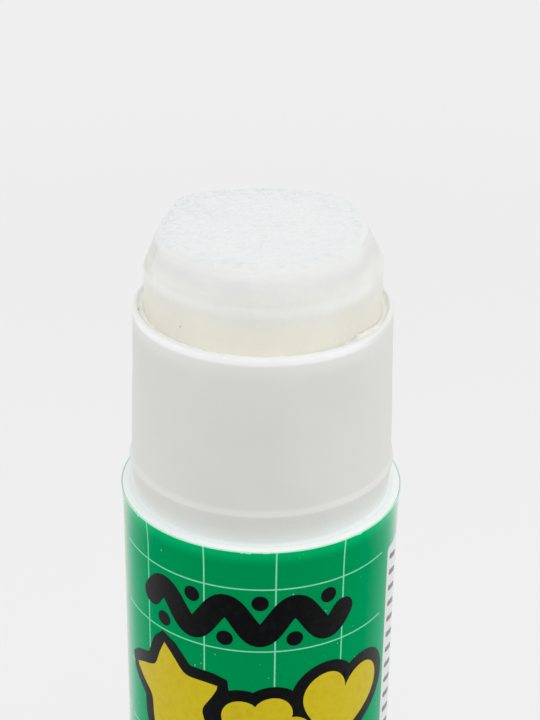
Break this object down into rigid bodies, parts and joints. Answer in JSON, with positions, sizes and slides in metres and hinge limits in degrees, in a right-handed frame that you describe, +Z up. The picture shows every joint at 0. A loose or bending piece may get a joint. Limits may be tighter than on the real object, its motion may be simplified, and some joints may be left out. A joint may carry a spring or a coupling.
{
  "type": "glue stick",
  "caption": "Twist-up glue stick with a screw-driven glue block, a ribbed knob at its foot and a separate snap cap standing beside it.",
  "frame": {"origin": "middle of the knob's flat base, on the stick's axis", "axes": "+Z up along the stick from the knob to the glue; +X from the stick to the cap beside it"},
  "size_m": [0.0702, 0.0304, 0.1179],
  "materials": {
    "sleeve_plastic": "slightly translucent white polypropylene",
    "printed_film": "thin satin film printed green with a pale grid",
    "tube_plastic": "matte white polypropylene",
    "knob_plastic": "satin white polypropylene",
    "glue": null,
    "cap_plastic": "satin white polypropylene"
  },
  "bodies": {
    "tube": {"inner_tube": "tube_plastic", "outer_sleeve": "sleeve_plastic", "label_film": "printed_film", "base_collar": "tube_plastic"},
    "dial": {"dial_knob": "knob_plastic", "screw_spindle": "knob_plastic"},
    "carrier": {"carrier_cup": "knob_plastic", "glue_block": "glue"},
    "cap": {"cap": "cap_plastic"}
  },
  "joints": [
    {"name": "dial_turn", "type": "hinge", "parent": "tube", "child": "dial", "pos_m": [0, 0, 0.005], "axis": [0, 0, 1], "range_deg": [-720.5, 3420.5]},
    {"name": "carrier_rise", "type": "slide", "parent": "tube", "child": "carrier", "axis": [0, 0, 1], "range_m": [-0.012, 0.057]},
    {"name": "cap_lift", "type": "slide", "parent": "tube", "child": "cap", "axis": [0, 0, 1], "range_m": [0, 0.024]}
  ],
  "couplings": [
    {"joint": "dial_turn", "follows": "carrier_rise", "rad_per_m": 1047.2}
  ]
}
